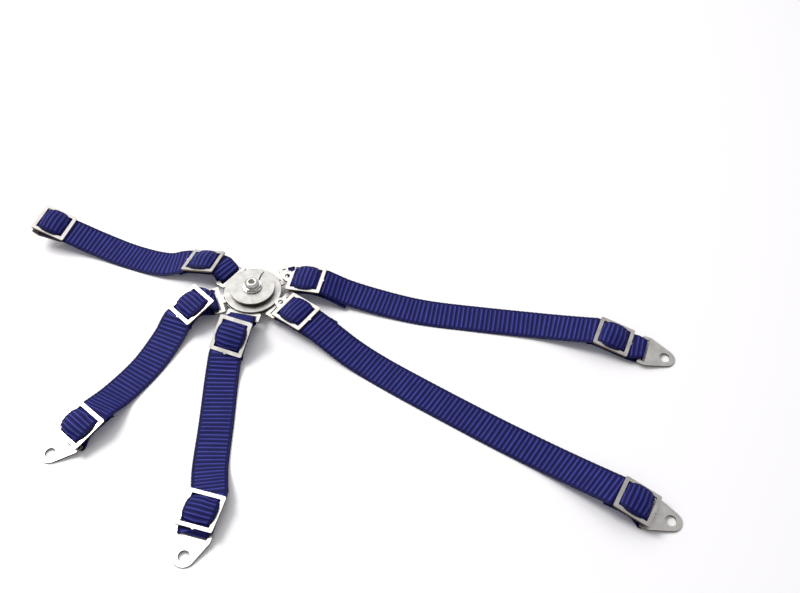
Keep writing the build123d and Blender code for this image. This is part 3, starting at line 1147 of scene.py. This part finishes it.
    def join(self, surfaces: list[Array], rows: Rows, weave: Weave, side: Array,
             material: Material) -> Object:
        """Joins the top and bottom surfaces into one closed mesh with its map and masks.

        Args:
            surfaces: the top and bottom surfaces' points.
            rows: the rows of points.
            weave: the columns of points.
            side: each point's distance across from the middle line.
            material: the ribbon's material.

        Returns:
            The ribbon's object, linked into the scene.
        """
        top, bottom = surfaces
        count, wide = len(rows.runs), len(weave.columns)
        top[:, [0, -1]] = (top[:, [0, -1]] + bottom[:, [0, -1]]) / 2
        points = np.concatenate([top, bottom[:, 1:-1][:, ::-1]], axis=1)
        ring = points.shape[1]
        mesh = bpy.data.meshes.new(self.name)
        mesh.from_pydata((points.reshape(-1, 3) * MM).tolist(), [], self.faces(count, ring, wide))
        mesh.shade_smooth()
        work = bmesh.new()
        work.from_mesh(mesh)
        bmesh.ops.recalc_face_normals(work, faces=work.faces)
        work.to_mesh(mesh)
        work.free()
        column = np.concatenate([np.arange(wide), np.arange(wide - 2, 0, -1)])
        runs = np.repeat(rows.runs[:, None], ring, axis=1)
        add_map(mesh, np.stack([side[:, column].ravel(), runs.ravel()], axis=1))
        masks = {RIB: rows.arch()[:, None] * weave.relief[column],
                 SELVEDGE_DOTS: weave.dotted()[column][None] * rows.dotted()[:, None]}
        for name, values in masks.items():
            layer = mesh.attributes.new(name, "FLOAT", "POINT")
            layer.data.foreach_set("value", values.astype(np.float32).ravel())
        mesh.materials.append(material)
        return placed(self.name, mesh)

    @staticmethod
    def faces(count: int, ring: int, wide: int) -> list[list[int]]:
        """The faces that close rings of points into a ribbon with capped ends.

        Args:
            count: how many rings there are.
            ring: how many points each ring has, top first and then back along the bottom.
            wide: how many of them are the top's.

        Returns:
            Each face's points.
        """
        index = np.arange(count * ring).reshape(count, ring)
        beside = np.roll(index, -1, axis=1)
        quads = np.stack([index[:-1], beside[:-1], beside[1:], index[1:]], axis=-1).reshape(-1, 4)
        upper = index[:, :wide]
        lower = np.concatenate([index[:, :1], index[:, :wide - 1:-1], index[:, wide - 1:wide]], axis=1)
        caps = []
        for row, turn in ((0, 1), (count - 1, -1)):
            for i in range(wide - 1):
                face = [upper[row, i], lower[row, i], lower[row, i + 1], upper[row, i + 1]]
                caps.append([int(v) for v in dict.fromkeys(face[::turn])])
        return quads.tolist() + caps


@dataclass
class Strap:
    """One strap: its ribbon, two buckles, its latch plate and its anchor."""

    layout: StrapLayout
    wardrobe: Wardrobe

    EDGE_BREAK = 0.045
    RUN_CROWN = 0.03

    def hinge(self, suffix: str) -> tuple[Vector, Vector]:
        """Where one of this strap's hinges lies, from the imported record.

        Args:
            suffix: the joint's name without the strap's.

        Returns:
            The bar's middle, and the level direction that crosses it, away from the hub.
        """
        joint = next(j for j in frame["joints"] if j["name"] == f"{self.layout.name}_{suffix}")
        axis = Vector(joint["axis"])
        return Vector(joint["pos_m"]) / MM, Vector((-axis.y, axis.x, 0.0)).normalized()

    def build(self) -> None:
        """Makes the strap's metal and its ribbon."""
        self.build_metal()
        self.build_ribbon()

    def build_metal(self) -> None:
        """Makes the latch, both buckles and the anchor, with the grain along each."""
        lays = []
        for part, joint in (("latch", "lift"), ("anchor", "anchor_turn")):
            _, way = self.hinge(joint)
            lays.append((part, part, Matrix.Rotation(np.arctan2(way.y, way.x), 4, "Z")))
        lays += [("hub_buckle", "strap", self.layout.near.matrix()),
                 ("end_buckle", "strap", self.layout.far.matrix())]
        name = self.layout.name
        for part, body, lay in lays:
            MetalPiece(f"{name}_{part}", f"{name}_{body}", "plate_steel", self.wardrobe.plate,
                       self.EDGE_BREAK, lay).build()

    def build_ribbon(self) -> None:
        """Makes the woven ribbon and puts it in the CAD ribbon's place."""
        mesh = RibbonMesh(self.layout.name + "_webbing", self.knots(), self.layout.seed)
        piece = mesh.build(self.wardrobe.ribbon)
        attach(piece, self.layout.name + "_strap")
        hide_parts(self.layout.name + "_ribbon")
        LOG.info("ribbon %s has %d faces", piece.name, len(piece.data.polygons))

    def knots(self) -> list[Knot]:
        """The whole middle line, from the hub end's cut tail to the anchor end's.

        Returns:
            The knots, in order.
        """
        plan = self.layout
        bar, way = self.hinge("lift")
        between = self.run_between()
        near = StrapEnd(End.HUB, bar, way, plan.near.matrix(), plan.near_tail, plan.near_loop,
                        between[0].at)
        bar, way = self.hinge("anchor_turn")
        far = StrapEnd(End.ANCHOR, bar, -way, plan.far.matrix(), plan.far_tail, plan.far_loop,
                       between[-1].at)
        return near.knots() + between + far.knots()[::-1]

    def run_between(self) -> list[Knot]:
        """The open run of ribbon between the two buckles.

        Returns:
            The knots, in order.
        """
        plan = self.layout
        stops = [(plan.near.x, plan.near.y)] + [r[:2] for r in plan.route] + [(plan.far.x, plan.far.y)]
        made = []
        for spot, before, after in zip(plan.route, stops, stops[2:]):
            ahead = Vector((after[0] - before[0], after[1] - before[1], 0)).normalized()
            made.append(Knot(Vector(spot), UP.cross(ahead), RIBBON_WIDTH, crown=self.RUN_CROWN))
        return made


LYING = 0.25                # the ribbon's middle where it lies flat on the table
STRAPS = (
    StrapLayout(
        "shoulder_right", near=Lie(11.5, 2.6, 3.75, -12, 3, 0), far=Lie(76.7, -12.7, 2.8, -22, -11, 0),
        route=((20.4, 0.7, 1.4), (29.3, -2.0, 0.5), (37.0, -4.0, LYING), (48.5, -5.9, LYING),
               (62.0, -8.2, 0.8)),
        near_tail=Tail(6.4, -0.6), near_loop=Loop(3.8, -0.8), far_loop=Loop(4.9, 0.1, 0.1, 0.0, 0.3),
        seed=11),
    StrapLayout(
        "shoulder_left", near=Lie(9.8, -6.5, 3.55, -36, 0, 0), far=Lie(76.0, -51.9, 3.2, -29, -14, -3),
        route=((21.5, -15.2, 0.9), (27.0, -19.0, LYING), (34.6, -24.2, LYING), (48.0, -33.0, LYING),
               (61.4, -41.5, 0.8)),
        near_tail=Tail(4.8, 0.55, 0.06, -10.0), far_tail=Tail(1.6, -0.2), far_loop=Loop(5.8, -0.6),
        seed=12),
    StrapLayout(
        "lap_right", near=Lie(-11.6, 8.0, 3.6, 165, -10, 9), far=Lie(-46.4, 18.6, 4.8, 163, 18, 0),
        route=((-20.5, 9.6, 0.8), (-28.8, 12.4, LYING), (-36.5, 15.4, 1.2)),
        near_loop=Loop(5.1, 0.0, 0.2, 0.0, 0.4), far_tail=Tail(0.4, 0.3), seed=13),
    StrapLayout(
        "crotch", near=Lie(-12.7, -4.6, 3.6, -136, -14, 6), far=Lie(-31.1, -34.8, 3.0, -131, -11, 0),
        route=((-16.8, -10.6, 1.0), (-20.5, -18.2, LYING), (-25.5, -26.0, 0.8)),
        near_loop=Loop(5.8, 0.0, 0.3, 0.1), far_tail=Tail(2.1, 0.4),
        far_loop=Loop(5.9, 0.7, 0.1, 0.0, 1.2), seed=14),
    StrapLayout(
        "lap_left", near=Lie(-3.3, -13.3, 3.8, -111, -30, 0), far=Lie(-5.0, -53.4, 2.55, -106, -3, 0),
        route=((-4.7, -22.0, 0.5), (-4.7, -32.0, LYING), (-4.7, -43.0, 0.6)),
        near_loop=Loop(5.4, 0.0, 0.3, 0.1, 0.5), far_tail=Tail(1.3, 0.2), far_loop=Loop(5.6, 0.2),
        seed=15),
)


# ------------------------------------------------------------------ studio
@dataclass(frozen=True)
class SoftLight:
    """A square studio lamp that points at the harness."""

    name: str
    place: Point
    size: float
    watts: float
    colour: Point

    AIM = (0.02, -0.015, 0.0)

    def build(self) -> None:
        """Makes the lamp, turned towards the middle of the harness."""
        lamp = bpy.data.lights.new(self.name, "AREA")
        lamp.energy, lamp.size, lamp.color = self.watts, self.size, self.colour
        hung = placed(self.name, lamp)
        hung.location = self.place
        aim = Vector(self.AIM) - Vector(self.place)
        hung.rotation_euler = aim.to_track_quat("-Z", "Y").to_euler()


@dataclass
class Studio:
    """A pale table, soft lamps, an even sky and the camera."""

    camera_place: Point = (0.0319, -0.153, 0.18075)
    camera_down: float = 49.62
    lens: float = 48.69
    film_width: float = 36.0
    clip: Range = (0.005, 20.0)
    table: Colour = (0.93, 0.92, 0.93, 1.0)
    sky: Colour = (0.97, 0.97, 1.0, 1.0)
    sky_strength: float = 0.52
    floor_half: float = 2.0
    lamps: tuple[SoftLight, ...] = (
        SoftLight("back_window", (-0.13, 0.35, 0.59), 0.75, 1.75, (1.0, 0.99, 0.97)),
        SoftLight("key", (-0.28, 0.12, 0.4), 0.2, 1.8, (1.0, 0.99, 0.98)),
    )

    def build(self) -> None:
        """Makes the whole studio."""
        self.build_floor()
        self.build_sky()
        for lamp in self.lamps:
            lamp.build()
        self.build_camera()

    def build_floor(self) -> None:
        """Makes the plain pale table top, which isn't part of the harness."""
        half = self.floor_half
        mesh = bpy.data.meshes.new("table_top")
        mesh.from_pydata([(-half, -half, 0), (half, -half, 0), (half, half, 0), (-half, half, 0)], [],
                         [(0, 1, 2, 3)])
        made, _, shader = new_material("White table")
        shader.inputs["Base Color"].default_value = self.table
        shader.inputs["Roughness"].default_value = 0.35
        shader.inputs["Specular IOR Level"].default_value = 0.3
        mesh.materials.append(made)
        floor = placed("table_top", mesh)

    def build_sky(self) -> None:
        """Makes an even, almost white surrounding light."""
        world = bpy.data.worlds.new("even_sky")
        world.use_nodes = True
        background = world.node_tree.nodes["Background"]
        background.inputs["Color"].default_value = self.sky
        background.inputs["Strength"].default_value = self.sky_strength
        bpy.context.scene.world = world

    def build_camera(self) -> None:
        """Makes the camera that looks down across the harness."""
        lens = bpy.data.cameras.new("view")
        lens.lens, lens.sensor_width = self.lens, self.film_width
        lens.clip_start, lens.clip_end = self.clip
        camera = placed("view", lens)
        camera.location = self.camera_place
        camera.rotation_euler = (radians(90 - self.camera_down), 0.0, 0.0)
        bpy.context.scene.camera = camera
        bpy.context.scene.view_settings.view_transform = "Standard"


def main() -> None:
    """Builds the studio, the hub and the five straps."""
    logging.basicConfig(level=logging.INFO, format="%(name)s: %(message)s")
    Studio().build()
    wardrobe = Wardrobe.build()
    Hub(wardrobe).build()
    for layout in STRAPS:
        Strap(layout, wardrobe).build()


if __name__ == "__main__":
    main()
